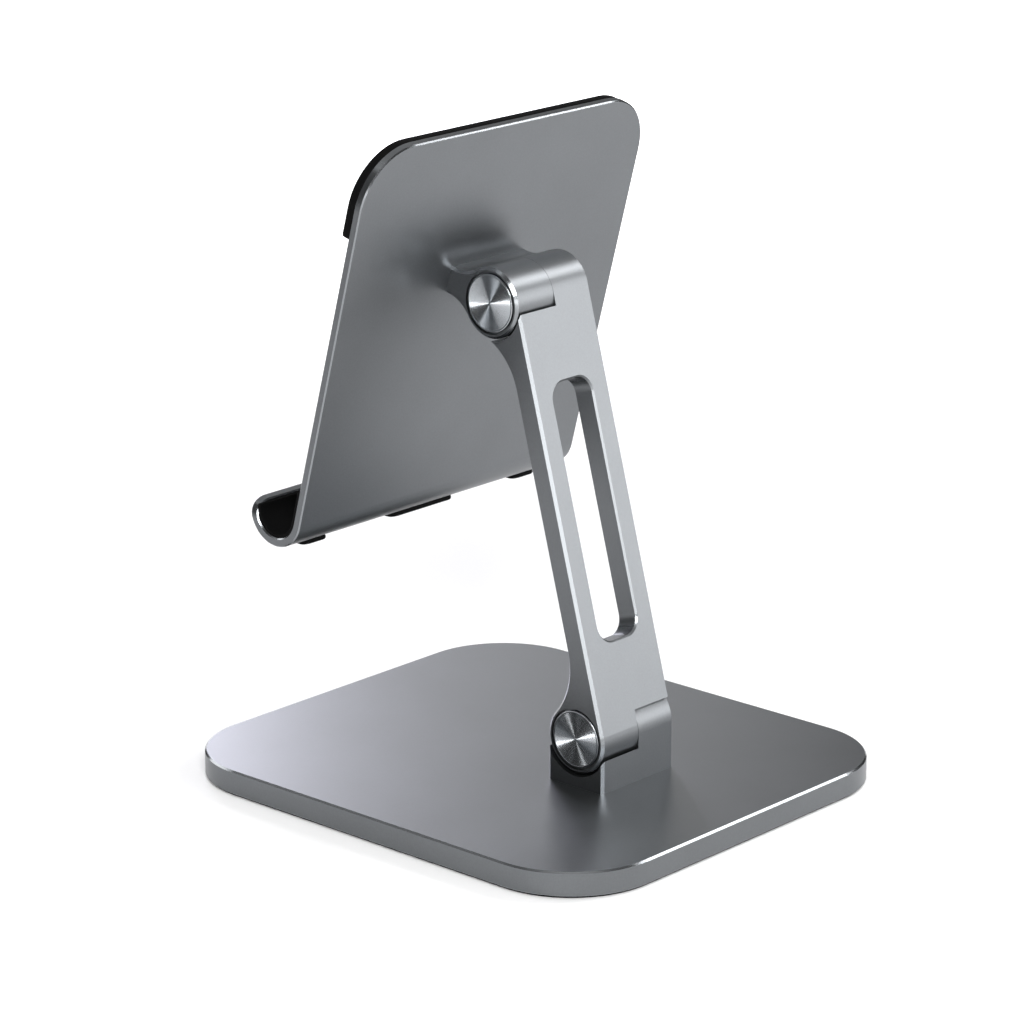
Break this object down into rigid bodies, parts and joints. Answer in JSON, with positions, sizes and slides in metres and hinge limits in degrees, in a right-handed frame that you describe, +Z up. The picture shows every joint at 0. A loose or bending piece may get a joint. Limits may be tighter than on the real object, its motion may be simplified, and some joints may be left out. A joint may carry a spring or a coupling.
{
  "type": "folding desk stand for a phone or tablet",
  "caption": "Folding aluminium desk stand for a phone or tablet: round-cornered base, slotted arm on two friction hinges and a rubber-lined tray with a curled lip.",
  "frame": {"origin": "middle of the base's underside", "axes": "+Z up, -Y towards the user, where the tray faces, +X along both hinge axes, towards the bolts' heads"},
  "size_m": [0.14, 0.156, 0.1877],
  "materials": {
    "anodised_aluminium": "bead-blasted and anodised space grey, satin",
    "spun_caps": "turned face with fine concentric lines, anodised grey",
    "black_rubber": "matte black silicone",
    "fastener_steel": "plain machined steel",
    "bearing_plastic": "black low-friction plastic"
  },
  "bodies": {
    "base": {"base_plate": "anodised_aluminium", "base_pad": "black_rubber", "post_screws": "fastener_steel", "post_dowels": "fastener_steel", "post_block": "anodised_aluminium", "lower_pivot_bolt": "fastener_steel", "lower_pivot_nut": "fastener_steel", "lower_disc_springs": "fastener_steel", "lower_cap_left": "spun_caps"},
    "arm": {"arm": "anodised_aluminium", "lower_bush": "bearing_plastic", "lower_friction_washer": "bearing_plastic", "lower_cap_right": "spun_caps", "upper_pivot_bolt": "fastener_steel", "upper_pivot_nut": "fastener_steel", "upper_disc_springs": "fastener_steel", "upper_cap_left": "spun_caps"},
    "tray": {"tray": "anodised_aluminium", "head_bracket": "anodised_aluminium", "bracket_screws": "fastener_steel", "tray_pad": "black_rubber", "lip_liner": "black_rubber", "bumper_left": "black_rubber", "bumper_middle": "black_rubber", "bumper_right": "black_rubber", "upper_bush": "bearing_plastic", "upper_friction_washer": "bearing_plastic", "upper_cap_right": "spun_caps"}
  },
  "joints": [
    {"name": "arm_tilt", "type": "hinge", "parent": "base", "child": "arm", "pos_m": [0, 0.0282, 0.0213], "axis": [1, 0, 0], "range_deg": [-55, 38]},
    {"name": "tray_tilt", "type": "hinge", "parent": "arm", "child": "tray", "pos_m": [0, -0.00348, 0.13953], "axis": [1, 0, 0], "range_deg": [-135, 42]}
  ]
}
